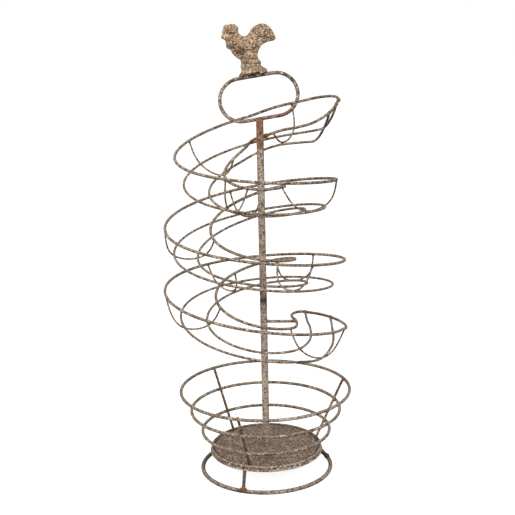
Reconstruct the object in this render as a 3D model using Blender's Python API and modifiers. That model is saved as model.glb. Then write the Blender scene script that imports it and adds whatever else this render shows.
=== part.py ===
# Egg holder: a welded wire rack. Eggs go in at the pointed entry at the top right, roll down three
# turns of a wire channel round a post and stop at the closed lower end, above a wire basket that
# stands on a round foot. A cast rooster stands on the carrying handle.
# Lengths are in metres, +Z is up. The rack faces -Y, and the channel runs down anticlockwise seen
# from above: right, back, left, front.

from math import atan2, ceil, cos, degrees, pi, radians, sin

import bmesh
import bpy
import numpy as np
from mathutils import Matrix, Vector

mm = 0.001
unit = 1.0

# Wire and rod diameters
top_rail_wire = 4.7 * mm
bottom_rail_wire = 4.0 * mm
cradle_wire = 2.8 * mm
handle_wire = 5.8 * mm
bracket_wire = 4.8 * mm
basket_ring_wire = 5.0 * mm
upright_wire = 4.2 * mm
leg_wire = 5.4 * mm
base_ring_wire = 6.6 * mm
post_diameter = 11.0 * mm
seat_gap = 0.3 * mm
cradle_gap = 0.65 * mm
hook_gap = 0.9 * mm
merge_distance = 0.01 * mm

# Foot, tray and basket
base_ring_diameter = 205.0 * mm
tray_diameter = 177.0 * mm
tray_height = 38.0 * mm
tray_sheet = 1.2 * mm
tray_dome = 3.0 * mm
tray_bead = 1.2 * mm
tray_shoulder = 3.0 * mm
tray_skirt = 7.5 * mm
leg_inset = 10.5 * mm
# Tray outline from the middle out: how far along, and how high in domes, then over the lip in beads
tray_dome_shares = ((0, 1), (0.35, 0.8), (0.7, 0.25), (0.92, 0), (1, 0))
tray_lip_shares = ((0.2, 0.8), (0.55, 1), (0.88, 0), (1, -1))
upright_inset = 6.0 * mm
basket_top_diameter = 265.5 * mm
basket_top_height = 133.3 * mm
basket_middle_share = 0.656
basket_lower_share = 0.294
upright_angles = {"back": 131.0, "front": 251.0, "right": 14.0}
leg_angles = {"back": (131.0, 131.0), "front": (249.0, 244.5), "right": (13.0, 13.0)}

# Post and handle
post_top_height = 557.6 * mm
handle_end_radius = 32.0 * mm
handle_straight = 53.0 * mm
handle_shift = 4.1 * mm
handle_tilt = 8.5

# Egg channel. The spiral's own axis stands a little left of the post and in front of it.
spiral_shift_x = -12.0 * mm
spiral_shift_y = -12.0 * mm
spiral_radius = 139.0 * mm
channel_width = 76.0 * mm
channel_depth = 40.0 * mm
pitch = 115.0 * mm
entry_height = 593.0 * mm
entry_reach = 133.0 * mm
end_height = 239.0 * mm
cradle_lead_share = 2.5
first_turn = 90.0
last_turn = 1080.0
outer_top_release = 10.0
inner_top_release = 25.0
outer_bottom_release = 60.0
inner_bottom_release = 80.0
bracket_rise = 4.0 * mm

# Rail heights at each quarter turn from the entry. The drop of the outer top rail is in pitches,
# how far the inner top rail lies below it is in channel widths, and how far each bottom rail lies
# below its top rail is in channel depths.
drop_shares = (0, 0.32, 0.70, 0.89, 1.07, 1.35, 1.65, 1.87, 2.15, 2.39, 2.51, 2.75, 3.10)
bank_shares = (0.33, 0.37, 0.34, 0.32, 0.12, -0.01, 0.07, 0.16, -0.03, -0.08, 0.16, 0.21, -0.05)
outer_depth_shares = (1.4, 1.0, 1.0, 1.2, 1.03, 0.95, 0.98, 1.08, 0.95, 0.83, 1.05, 1.28, 0.94)
inner_depth_shares = (0.58, 0.65, 0.68, 0.85, 0.90, 1.05, 1.08, 0.88, 0.95, 0.97, 0.93, 0.90, 0.72)

# Rail distances from the spiral's axis at the entry and at each half turn, in spiral radii
half_turns = (90.0, 180.0, 360.0, 540.0, 720.0, 900.0, 1080.0)
outer_top_shares = (0.72, 0.83, 0.905, 0.97, 0.99, 1.00, 0.97)
inner_top_shares = (0.137, 0.30, 0.345, 0.475, 0.445, 0.44, 0.445)
outer_bottom_shares = (0.56, 0.74, 0.78, 0.88, 0.855, 0.835, 0.805)
inner_bottom_shares = (0.315, 0.47, 0.56, 0.625, 0.575, 0.545, 0.54)

# The pointed entry, from its tip to the straight run. Places are along the reach, across the width
# from the post's side, and in channel depths from the tip's height.
tip_height = 583.0 * mm
entry_top_outer_shares = (
    (1.005, 0.58, -0.04), (1.003, 0.645, 0.01), (0.985, 0.74, 0.045), (0.92, 0.92, 0.045),
    (0.80, 1.04, -0.01), (0.57, 1.07, -0.165), (0.28, 1.07, -0.37))
entry_top_inner_shares = (
    (0.977, 0.51, -0.18), (0.93, 0.43, -0.36), (0.865, 0.315, -0.515), (0.78, 0.195, -0.66),
    (0.675, 0.09, -0.795), (0.54, 0.025, -0.895), (0.315, 0, -1.025), (0.15, 0, -1.205))
entry_bottom_outer_shares = (
    (0.932, 0.62, -0.66), (0.90, 0.645, -0.865), (0.865, 0.655, -1.025), (0.82, 0.67, -1.145),
    (0.75, 0.70, -1.21), (0.615, 0.75, -1.295), (0.38, 0.775, -1.415))
entry_bottom_inner_shares = (
    (0.866, 0.38, -0.76), (0.833, 0.415, -1.03), (0.797, 0.435, -1.27), (0.765, 0.435, -1.425),
    (0.715, 0.42, -1.555), (0.61, 0.395, -1.585), (0.435, 0.34, -1.61), (0.32, 0.33, -1.65))
outer_bottom_start_shares = (0.977, 0.51, -0.175)
inner_bottom_start_shares = (0.887, 0.355, -0.44)

# The closed lower end, from the last turn round the egg stop. Places are in spiral radii from the
# spiral's axis, with the height in channel depths from the stop's height.
stop_shares = (
    (1.003, -0.02, -0.05), (1.0, 0.08, -0.05), (0.975, 0.165, -0.05), (0.93, 0.265, -0.05),
    (0.85, 0.36, -0.02), (0.735, 0.46, 0), (0.625, 0.53, 0), (0.51, 0.575, 0), (0.445, 0.535, 0),
    (0.41, 0.45, 0), (0.415, 0.36, 0), (0.44, 0.26, 0.03))
stop_hook_shares = ((0.452, 0, 0.05), (0.458, 0.08, 0.05), (0.454, 0.16, 0.05))
outer_rise_shares = ((0.805, -0.14, -0.83), (0.85, -0.04, -0.68), (0.865, 0.04, -0.48), (0.86, 0.13, -0.29))
inner_rise_shares = ((0.47, -0.42, -0.41), (0.555, -0.29, -0.36), (0.60, -0.15, -0.30), (0.61, -0.03, -0.23),
                     (0.605, 0.12, -0.15), (0.585, 0.30, -0.125))
outer_bottom_end_shares = (0.85, 0.36, -0.02)
inner_bottom_end_shares = (0.57, 0.56, 0)

# Cradle places along the run, in degrees of turn: on the outer top, outer bottom, inner bottom and
# inner top rails
cradle_turns = ((48, 47, 59, 68), (151, 146, 141, 145), (252, 250, 252, 261), (357, 375, 374, 391),
                (467, 462, 452, 438), (546, 544, 539, 567), (668, 662, 656, 662), (767, 764, 773, 777),
                (844, 841, 835, 842), (905, 917, 910, 929), (1074, 1065, 1041, 1048))
# Which way each cradle passes the bottom rails: 1 under them, -1 over them, inside the channel
cradle_sides = (-1, 1, -1, 1, -1, 1, -1, -1, -1, 1, 1)

# Rooster
rooster_length = 80.5 * mm
rooster_height = 51.5 * mm
rooster_rise = 22.2 * mm
rooster_front = -54.5 * mm
rooster_relief = 9.0 * mm
rooster_edge_radius = 2.4 * mm
rooster_body_thickness = 24.0 * mm
rooster_outline_shares = (
    (0.35, -0.03), (0.29, 0.03), (0.24, 0.09), (0.20, 0.17), (0.17, 0.26), (0.14, 0.29), (0.10, 0.31),
    (0.09, 0.37), (0.09, 0.45), (0.075, 0.54), (0.03, 0.58), (0.0, 0.61), (0.02, 0.68), (0.03, 0.74),
    (0.025, 0.79), (0.04, 0.86), (0.05, 0.92), (0.09, 0.97), (0.13, 0.965), (0.18, 1.0), (0.21, 0.975),
    (0.24, 0.995), (0.275, 0.95), (0.31, 0.91), (0.325, 0.85), (0.315, 0.77), (0.34, 0.70),
    (0.38, 0.655), (0.43, 0.635), (0.48, 0.66), (0.52, 0.74), (0.56, 0.84), (0.62, 0.92), (0.69, 0.97),
    (0.76, 0.99), (0.83, 0.96), (0.90, 0.87), (0.95, 0.76), (0.98, 0.66), (1.0, 0.55), (0.96, 0.50),
    (0.90, 0.485), (0.84, 0.465), (0.78, 0.425), (0.73, 0.36), (0.70, 0.29), (0.675, 0.20),
    (0.66, 0.09), (0.64, -0.03))
# Rounded masses on both faces of the relief: centre, half sizes along the length, thickness and
# height, in rooster lengths, body thicknesses and rooster heights, and a turn in degrees
rooster_mass_shares = (
    ((0.40, 0.36), (0.210, 0.50, 0.250), 25.0),
    ((0.215, 0.50), (0.110, 0.40, 0.230), 10.0),
    ((0.175, 0.80), (0.110, 0.30, 0.130), 0.0),
    ((0.560, 0.47), (0.140, 0.40, 0.230), 40.0),
    ((0.760, 0.73), (0.155, 0.28, 0.190), -10.0),
    ((0.500, 0.12), (0.120, 0.42, 0.200), 0.0))
stand_lean = 13.0
stand_centre = 1.5 * mm
stand_depth_share = 0.72
stand_foot_radius = 22.0 * mm
stand_waist_radius = 12.8 * mm
stand_height = 27.5 * mm
# Turned outline of the stand, from the foot up: height, and where it lies between waist and foot
stand_outline_shares = (
    (-0.16, 1.0), (0.04, 1.0), (0.10, 0.92), (0.20, 0.60), (0.30, 0.30), (0.36, 0.20), (0.41, 0.26),
    (0.46, 0.30), (0.56, 0.30), (0.62, 0.22), (0.68, 0.04), (0.86, 0.0), (1.06, 0.06))
stand_recess_length = 26.0 * mm
stand_recess_height = 3.0 * mm
stand_web = 12.0 * mm

# Facets
ring_steps = 44
ring_sides = 8
post_sides = 20
handle_bend_steps = 12
stand_steps = 28
mass_segments = 20
mass_rings = 12
edge_steps = 1
sharp_angle = 40.0
wire_resolution = 2
fine_wire_resolution = 1
bend_step = 14.0
rounding_share = 0.01
helix_step = 22.5
cradle_steps = 12

# Colours of the worn brown paint, in linear light
rail_colour = (0.30, 0.22, 0.15, 1)
cast_colour = (0.33, 0.22, 0.13, 1)
tray_colour = (0.24, 0.17, 0.12, 1)
paint_roughness = 0.8


def clear_scene():
    for thing in list(bpy.data.objects):
        bpy.data.objects.remove(thing, do_unlink=True)


def new_collection(name):
    collection = bpy.data.collections.new(name)
    bpy.context.scene.collection.children.link(collection)
    return collection


def paint(name, colour):
    material = bpy.data.materials.new(name)
    material.use_nodes = True
    shader = material.node_tree.nodes["Principled BSDF"]
    shader.inputs["Base Color"].default_value = colour
    shader.inputs["Roughness"].default_value = paint_roughness
    material.diffuse_color = colour
    return material


def place(thing, name, colour, collection, root):
    thing.name = name
    thing.data.name = name
    thing.data.materials.clear()
    thing.data.materials.append(paint(name + "_paint", colour))
    for owner in list(thing.users_collection):
        owner.objects.unlink(thing)
    collection.objects.link(thing)
    thing.parent = root
    return thing


def mesh_of(shape, name):
    mesh = bpy.data.meshes.new(name)
    shape.to_mesh(mesh)
    shape.free()
    thing = bpy.data.objects.new(name, mesh)
    bpy.context.scene.collection.objects.link(thing)
    return thing


def shade(thing):
    thing.data.shade_smooth()
    thing.data.set_sharp_from_angle(angle=radians(sharp_angle))


def wire(points, diameter, closed=False, resolution=None):
    curve = bpy.data.curves.new("wire", "CURVE")
    curve.dimensions = "3D"
    curve.bevel_depth = diameter / 2
    curve.bevel_resolution = wire_resolution if resolution is None else resolution
    curve.use_fill_caps = not closed
    spline = curve.splines.new("POLY")
    spline.points.add(len(points) - 1)
    for spot, point in zip(spline.points, points):
        spot.co = (*point, 1)
    spline.use_cyclic_u = closed
    spline.use_smooth = True
    thing = bpy.data.objects.new("wire", curve)
    bpy.context.scene.collection.objects.link(thing)
    return thing


# Smooth run through points, with more steps where it bends

def run_directions(points):
    inner = []
    for before, point, after in zip(points, points[1:], points[2:]):
        arrive = point - before
        leave = after - point
        way = arrive.normalized() * leave.length + leave.normalized() * arrive.length
        inner.append(way.normalized())
    first = (points[0] - points[1]).normalized()
    last = (points[-1] - points[-2]).normalized()
    return [-inner[0].reflect(first)] + inner + [-inner[-1].reflect(last)]


def smooth_run(points):
    ways = run_directions(points)
    run = []
    for start, end, leave, arrive in zip(points, points[1:], ways, ways[1:]):
        chord = end - start
        turn = degrees(max(leave.angle(arrive), 2 * leave.angle(chord), 2 * arrive.angle(chord)))
        count = max(1, ceil(turn / bend_step - rounding_share))
        for k in range(count):
            t = k / count
            run.append(start * (2 * t ** 3 - 3 * t ** 2 + 1) + end * (3 * t ** 2 - 2 * t ** 3)
                       + (leave * (t ** 3 - 2 * t ** 2 + t) + arrive * (t ** 3 - t ** 2)) * chord.length)
    return run + [points[-1]]


def closest_on(run, spot):
    best = None
    for start, end in zip(run, run[1:]):
        along = end - start
        share = min(1, max(0, (spot - start).dot(along) / along.length_squared))
        point = start + along * share
        if best is None or (spot - point).length < (spot - best[0]).length:
            best = (point, along.normalized())
    return best


# Where a wire coming from one point ends so that its flat cap clears the round host it is welded to

def butt_end(origin, spot, host_line, host_radius, own_radius):
    way = (spot - origin).normalized()
    slope = abs(way.dot(host_line.normalized()))
    square = (1 - slope ** 2) ** 0.5
    return spot - way * (host_radius + seat_gap + own_radius * slope) / square


# Natural cubic through a table

def natural_spline(knots, values, spot):
    knots = np.array(knots, float)
    values = np.array(values, float)
    count = len(knots)
    gaps = np.diff(knots)
    slopes = np.diff(values) / gaps
    system = np.eye(count)
    right = np.zeros(count)
    for k in range(1, count - 1):
        system[k, k - 1:k + 2] = gaps[k - 1], 2 * (gaps[k - 1] + gaps[k]), gaps[k]
        right[k] = 6 * (slopes[k] - slopes[k - 1])
    bends = np.linalg.solve(system, right)
    k = int(min(max(np.searchsorted(knots, spot, side="right") - 1, 0), count - 2))
    ahead = knots[k + 1] - spot
    behind = spot - knots[k]
    return float((bends[k] * ahead ** 3 + bends[k + 1] * behind ** 3) / (6 * gaps[k])
                 + (values[k] / gaps[k] - bends[k] * gaps[k] / 6) * ahead
                 + (values[k + 1] / gaps[k] - bends[k + 1] * gaps[k] / 6) * behind)


quarter_turns = tuple(90.0 * k for k in range(len(drop_shares)))


def rail_height(name, turn):
    share = natural_spline(quarter_turns, drop_shares, turn)
    height = entry_height - pitch * share
    if name.startswith("inner"):
        height -= channel_width * natural_spline(quarter_turns, bank_shares, turn)
    if name == "outer_bottom_rail":
        height -= channel_depth * natural_spline(quarter_turns, outer_depth_shares, turn)
    if name == "inner_bottom_rail":
        height -= channel_depth * natural_spline(quarter_turns, inner_depth_shares, turn)
    return height


radius_shares = {"outer_top_rail": outer_top_shares, "inner_top_rail": inner_top_shares,
                 "outer_bottom_rail": outer_bottom_shares, "inner_bottom_rail": inner_bottom_shares}
rail_diameters = {"outer_top_rail": top_rail_wire, "inner_top_rail": top_rail_wire,
                  "outer_bottom_rail": bottom_rail_wire, "inner_bottom_rail": bottom_rail_wire}

post_side = (post_diameter + top_rail_wire) / 2 + seat_gap


def rail_radius(name, turn):
    if name == "inner_top_rail" and turn <= first_turn:
        return post_side - spiral_shift_y
    shares = list(radius_shares[name])
    if name == "inner_top_rail":
        shares[0] = (post_side - spiral_shift_y) / spiral_radius
    return spiral_radius * natural_spline(half_turns, shares, turn)


def rail_point(name, turn):
    radius = rail_radius(name, max(turn, first_turn))
    angle = radians(max(turn, first_turn))
    lead = entry_reach * max(0, 1 - turn / first_turn)
    return Vector((spiral_shift_x + radius * cos(angle) + lead, spiral_shift_y + radius * sin(angle),
                   rail_height(name, turn)))


def entry_point(share):
    along, across, down = share
    return Vector((spiral_shift_x + entry_reach * along, post_side + channel_width * across,
                   tip_height + channel_depth * down))


def stop_point(share):
    along, across, down = share
    return Vector((spiral_shift_x + spiral_radius * along, spiral_shift_y + spiral_radius * across,
                   end_height + channel_depth * down))


def helix_points(name, start, end):
    count = ceil((end - start) / helix_step)
    return [rail_point(name, start + (end - start) * k / count) for k in range(count + 1)]


def build_runs():
    runs = {}
    outer = [entry_point(s) for s in entry_top_outer_shares]
    outer += helix_points("outer_top_rail", first_turn, last_turn - outer_top_release)
    outer += [stop_point(s) for s in stop_shares]
    inner = [entry_point(s) for s in entry_top_inner_shares]
    inner += helix_points("inner_top_rail", first_turn, last_turn - inner_top_release)
    inner += [stop_point(s) for s in stop_hook_shares]
    tip = (outer[0] + outer[1]) / 2
    inner.insert(0, butt_end(inner[0], tip, outer[1] - outer[0], top_rail_wire / 2, top_rail_wire / 2))
    inner.append(outer[-1] + (inner[-1] - outer[-1]).normalized() * hook_gap)
    runs["outer_top_rail"] = smooth_run(outer)
    runs["inner_top_rail"] = smooth_run(inner)
    for name, start, entry, release, rise, end in (
            ("outer_bottom_rail", outer_bottom_start_shares, entry_bottom_outer_shares,
             outer_bottom_release, outer_rise_shares, outer_bottom_end_shares),
            ("inner_bottom_rail", inner_bottom_start_shares, entry_bottom_inner_shares,
             inner_bottom_release, inner_rise_shares, inner_bottom_end_shares)):
        points = [entry_point(s) for s in entry]
        points += helix_points(name, first_turn, last_turn - release)
        points += [stop_point(s) for s in rise]
        first_spot, first_line = closest_on(runs["inner_top_rail"], entry_point(start))
        last_spot, last_line = closest_on(runs["outer_top_rail"], stop_point(end))
        first = butt_end(points[0], first_spot, first_line, top_rail_wire / 2, bottom_rail_wire / 2)
        last = butt_end(points[-1], last_spot, last_line, top_rail_wire / 2, bottom_rail_wire / 2)
        runs[name] = smooth_run([first] + points + [last])
    return runs


def add_rails(runs, collection, root):
    for name, run in runs.items():
        place(wire(run, rail_diameters[name]), name, rail_colour, collection, root)


# One thin cradle: down from the outer top rail, past both bottom rails, up to the inner top rail

def cradle_run(runs, turns, side):
    names = ("outer_top_rail", "outer_bottom_rail", "inner_bottom_rail", "inner_top_rail")
    spots = [closest_on(runs[name], rail_point(name, turn)) for name, turn in zip(names, turns)]
    (outer_top, outer_line), (outer_low, outer_low_line) = spots[:2]
    (inner_low, inner_low_line), (inner_top, inner_line) = spots[2:]
    middle = (outer_top + inner_top) / 2
    reach = (bottom_rail_wire + cradle_wire) / 2 + (cradle_gap if side > 0 else seat_gap)
    seats = [outer_top]
    for low, line, across in ((outer_low, outer_low_line, inner_low - outer_top),
                              (inner_low, inner_low_line, inner_top - outer_low)):
        normal = across.cross(line).normalized()
        if normal.dot(low - middle) < 0:
            normal = -normal
        seats.append(low + normal * reach * side)
    seats.append(inner_top)
    knots = [0]
    for start, end in zip(seats, seats[1:]):
        knots.append(knots[-1] + (end - start).length)

    def along(spot):
        return Vector([natural_spline(knots, [seat[axis] for seat in seats], spot) for axis in range(3)])

    lead = cradle_lead_share * cradle_wire
    span = knots[-1] - 2 * lead
    first = butt_end(along(lead), outer_top, outer_line, top_rail_wire / 2, cradle_wire / 2)
    last = butt_end(along(knots[-1] - lead), inner_top, inner_line, top_rail_wire / 2, cradle_wire / 2)
    return [first] + [along(lead + span * k / cradle_steps) for k in range(cradle_steps + 1)] + [last]


def add_cradles(runs, collection, root):
    for number, (turns, side) in enumerate(zip(cradle_turns, cradle_sides), 1):
        run = cradle_run(runs, turns, side)
        thing = wire(run, cradle_wire, resolution=fine_wire_resolution)
        place(thing, "cradle_%02d" % number, rail_colour, collection, root)


def outline_mesh(spots, name, closed=False):
    shape = bmesh.new()
    corners = [shape.verts.new(spot) for spot in spots]
    ends = corners[1:] + corners[:1] if closed else corners[1:]
    for start, end in zip(corners, ends):
        shape.edges.new((start, end))
    return mesh_of(shape, name)


def spin(thing, steps):
    turn = thing.modifiers.new("turn", "SCREW")
    turn.angle = 2 * pi
    turn.steps = steps
    turn.render_steps = steps
    turn.use_merge_vertices = True
    turn.merge_threshold = merge_distance


# Closed ring with a flat facet underneath

def ring(diameter, height, thickness):
    radius = thickness / 2 / cos(pi / ring_sides)
    spots = []
    for k in range(ring_sides):
        angle = -(2 * k + 1) * pi / ring_sides
        spots.append((diameter / 2 + radius * cos(angle), 0, height + radius * sin(angle)))
    thing = outline_mesh(spots, "ring", closed=True)
    spin(thing, ring_steps)
    return thing


def around(radius, angle, height):
    return Vector((radius * cos(radians(angle)), radius * sin(radians(angle)), height))


upright_foot_radius = tray_diameter / 2 - upright_inset
upright_top_radius = basket_top_diameter / 2 - (basket_ring_wire + upright_wire) / 2 - seat_gap
upright_lean = atan2(upright_top_radius - upright_foot_radius, basket_top_height - tray_height)


def basket_ring_diameter(share):
    seat = upright_foot_radius + (upright_top_radius - upright_foot_radius) * share
    return 2 * (seat + ((basket_ring_wire + upright_wire) / 2 + seat_gap) / cos(upright_lean))


def add_basket(collection, root):
    for name, share in (("basket_top_ring", 1), ("basket_middle_ring", basket_middle_share),
                        ("basket_lower_ring", basket_lower_share)):
        height = tray_height + (basket_top_height - tray_height) * share
        thing = ring(basket_ring_diameter(share), height, basket_ring_wire)
        place(thing, name, rail_colour, collection, root)
        shade(thing)
    slope = sin(upright_lean)
    lift = (seat_gap + upright_wire / 2 * slope) / cos(upright_lean)
    for side, angle in upright_angles.items():
        foot = around(upright_foot_radius + lift * slope, angle, tray_height + lift * cos(upright_lean))
        top = around(upright_top_radius, angle, basket_top_height)
        place(wire([foot, top], upright_wire), "basket_upright_" + side, rail_colour, collection, root)


def add_tray(collection, root):
    edge = tray_diameter / 2
    inner = edge - tray_shoulder
    profile = [(inner * along, tray_height + tray_dome * up) for along, up in tray_dome_shares]
    for along, up in tray_lip_shares:
        profile.append((inner + tray_shoulder * along, tray_height + tray_bead * up))
    profile.append((edge, tray_height - tray_skirt))
    thing = outline_mesh([(x, 0, z) for x, z in profile], "tray")
    spin(thing, ring_steps)
    sheet = thing.modifiers.new("sheet", "SOLIDIFY")
    sheet.thickness = tray_sheet
    sheet.offset = -1
    sheet.use_even_offset = True
    place(thing, "tray", tray_colour, collection, root)
    shade(thing)


def add_foot(collection, root):
    thing = ring(base_ring_diameter, base_ring_wire / 2, base_ring_wire)
    place(thing, "base_ring", rail_colour, collection, root)
    shade(thing)
    for side, (ring_angle, tray_angle) in leg_angles.items():
        ring_spot = around(base_ring_diameter / 2, ring_angle, base_ring_wire / 2)
        tray_spot = around(tray_diameter / 2 - leg_inset, tray_angle, tray_height - tray_sheet)
        ring_line = around(unit, ring_angle + 90, 0)
        low = butt_end(tray_spot, ring_spot, ring_line, base_ring_wire / 2, leg_wire / 2)
        flat = ring_spot - tray_spot
        flat.z = 0
        high = butt_end(ring_spot, tray_spot, flat, 0, leg_wire / 2)
        place(wire([low, high], leg_wire), "leg_" + side, rail_colour, collection, root)


def add_post(collection, root):
    shape = bmesh.new()
    base = tray_height + tray_dome + seat_gap
    length = post_top_height - base
    bmesh.ops.create_cone(shape, cap_ends=True, segments=post_sides, radius1=post_diameter / 2,
                          radius2=post_diameter / 2, depth=length,
                          matrix=Matrix.Translation((0, 0, base + length / 2)))
    thing = mesh_of(shape, "post")
    place(thing, "centre_post", rail_colour, collection, root)
    shade(thing)


handle_lift = handle_wire / 2 + seat_gap + post_diameter / 2 * sin(radians(handle_tilt))
handle_bar_height = post_top_height + handle_lift
handle_turn = Matrix.Rotation(radians(-handle_tilt), 4, "Y")


def handle_place(along, height):
    return Vector((0, 0, handle_bar_height)) + handle_turn @ Vector((along, 0, height))


def add_handle(collection, root):
    points = []
    for side in (1, -1):
        for k in range(handle_bend_steps + 1):
            angle = radians(180 * k / handle_bend_steps - 90 * side)
            along = handle_shift + side * handle_straight / 2 + handle_end_radius * cos(angle)
            points.append(handle_place(along, handle_end_radius * (1 + sin(angle))))
    place(wire(points, handle_wire, closed=True), "handle_loop", rail_colour, collection, root)


def add_bracket(runs, collection, root):
    spot, line = closest_on(runs["inner_top_rail"], stop_point(stop_hook_shares[-1]))
    centre = Vector((0, 0, spot.z + bracket_rise))
    far = butt_end(centre, spot, line, top_rail_wire / 2, bracket_wire / 2)
    way = (spot - centre).normalized()
    near = centre + way * (post_diameter / 2 + seat_gap + bracket_wire / 2 * abs(way.z))
    place(wire([near, far], bracket_wire), "post_bracket", rail_colour, collection, root)


# Rooster: a relief cut from its outline, with rounded masses on both faces, on a turned stand

rooster_floor = handle_bar_height + 2 * handle_end_radius + handle_wire / 2 + rooster_rise


def rooster_place(along, height):
    return rooster_front + rooster_length * along, rooster_floor + rooster_height * height


def solid_from_curve(thing):
    bpy.context.view_layer.update()
    graph = bpy.context.evaluated_depsgraph_get()
    mesh = bpy.data.meshes.new_from_object(thing.evaluated_get(graph))
    shape = bmesh.new()
    shape.from_mesh(mesh)
    bmesh.ops.remove_doubles(shape, verts=shape.verts, dist=merge_distance)
    shape.to_mesh(mesh)
    shape.free()
    solid = bpy.data.objects.new("solid", mesh)
    solid.matrix_world = thing.matrix_world.copy()
    bpy.context.scene.collection.objects.link(solid)
    bpy.data.objects.remove(thing, do_unlink=True)
    return solid


def rooster_relief_solid():
    curve = bpy.data.curves.new("relief", "CURVE")
    curve.dimensions = "2D"
    curve.fill_mode = "BOTH"
    curve.extrude = rooster_relief / 2 - rooster_edge_radius
    curve.bevel_depth = rooster_edge_radius
    curve.bevel_resolution = edge_steps
    curve.offset = -rooster_edge_radius
    spline = curve.splines.new("POLY")
    spline.points.add(len(rooster_outline_shares) - 1)
    for spot, share in zip(spline.points, rooster_outline_shares):
        x, z = rooster_place(*share)
        spot.co = (x, z, 0, 1)
    spline.use_cyclic_u = True
    thing = bpy.data.objects.new("relief", curve)
    thing.matrix_world = Matrix.Rotation(radians(90), 4, "X")
    bpy.context.scene.collection.objects.link(thing)
    return solid_from_curve(thing)


def rooster_mass(centre, half, turn):
    x, z = rooster_place(*centre)
    size = Matrix.Diagonal((half[0] * rooster_length, half[1] * rooster_body_thickness,
                            half[2] * rooster_height, 1))
    shape = bmesh.new()
    bmesh.ops.create_uvsphere(shape, u_segments=mass_segments, v_segments=mass_rings, radius=unit)
    spot = Matrix.Translation((x, 0, z)) @ Matrix.Rotation(radians(turn), 4, "Y") @ size
    bmesh.ops.transform(shape, matrix=spot, verts=shape.verts)
    return mesh_of(shape, "mass")


def stand_solid():
    spread = stand_foot_radius - stand_waist_radius
    spots = []
    for height, share in reversed(stand_outline_shares):
        spots.append((stand_waist_radius + spread * share, 0, stand_height * height))
    spots.insert(0, (0, 0, spots[0][2]))
    spots.append((0, 0, spots[-1][2]))
    thing = outline_mesh(spots, "stand")
    spin(thing, stand_steps)
    foot = handle_place(stand_centre, 2 * handle_end_radius + handle_wire / 2 + seat_gap)
    lean = Matrix.Rotation(radians(-stand_lean), 4, "Y")
    flat = Matrix.Diagonal((1, stand_depth_share, 1, 1))
    thing.matrix_world = Matrix.Translation(foot) @ lean @ flat
    return thing


def box(size, matrix):
    shape = bmesh.new()
    bmesh.ops.create_cube(shape, size=unit, matrix=matrix @ Matrix.Diagonal((*size, 1)))
    return mesh_of(shape, "box")


def combine(target, other, operation, cutters, root):
    for owner in list(other.users_collection):
        owner.objects.unlink(other)
    cutters.objects.link(other)
    other.parent = root
    other.hide_render = True
    other.display_type = "WIRE"
    step = target.modifiers.new(other.name, "BOOLEAN")
    step.operation = operation
    step.solver = "EXACT"
    step.object = other


def add_rooster(collection, cutters, root):
    relief = rooster_relief_solid()
    pieces = [rooster_mass(*shares) for shares in rooster_mass_shares] + [stand_solid()]
    for piece in pieces:
        combine(relief, piece, "UNION", cutters, root)
    bar_top = 2 * handle_end_radius + handle_wire / 2 + seat_gap
    wide = 4 * stand_foot_radius
    seat = Matrix.Translation(handle_place(stand_centre, bar_top - wide / 2)) @ handle_turn
    combine(relief, box((wide, wide, wide), seat), "DIFFERENCE", cutters, root)
    size = (stand_recess_length, wide, 2 * stand_recess_height)
    for side in (-1, 1):
        spot = handle_place(stand_centre - handle_wire / 2, bar_top)
        spot.y += side * (stand_web + wide) / 2
        combine(relief, box(size, Matrix.Translation(spot) @ handle_turn), "DIFFERENCE", cutters, root)
    place(relief, "rooster_finial", cast_colour, collection, root)
    shade(relief)


def centre_on_floor(root, collection):
    bpy.context.view_layer.update()
    graph = bpy.context.evaluated_depsgraph_get()
    corners = []
    for thing in collection.objects:
        ready = thing.evaluated_get(graph)
        if thing.type in {"MESH", "CURVE"}:
            mesh = ready.to_mesh()
            corners += [ready.matrix_world @ vertex.co for vertex in mesh.vertices]
            ready.to_mesh_clear()
    low = Vector([min(c[axis] for c in corners) for axis in range(3)])
    high = Vector([max(c[axis] for c in corners) for axis in range(3)])
    root.location = (-(low.x + high.x) / 2, -(low.y + high.y) / 2, -low.z)


def main():
    clear_scene()
    collection = new_collection("egg_holder")
    cutters = new_collection("cutters")
    root = bpy.data.objects.new("egg_holder", None)
    collection.objects.link(root)
    runs = build_runs()
    add_foot(collection, root)
    add_tray(collection, root)
    add_basket(collection, root)
    add_post(collection, root)
    add_rails(runs, collection, root)
    add_cradles(runs, collection, root)
    add_bracket(runs, collection, root)
    add_handle(collection, root)
    add_rooster(collection, cutters, root)
    centre_on_floor(root, collection)


main()
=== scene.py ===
# Egg holder: a welded wire egg rack with a cast rooster on its handle, dressed for rendering.
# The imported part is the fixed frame. Each wire, ring and casting is made again in its place in finer
# mesh, with weld beads, lumps of paint and worn antique brown colour. Lengths are in metres.

from math import ceil, cos, pi, radians, sin

import bmesh
import bpy
import numpy as np
from mathutils import Matrix, Vector, noise


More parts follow.
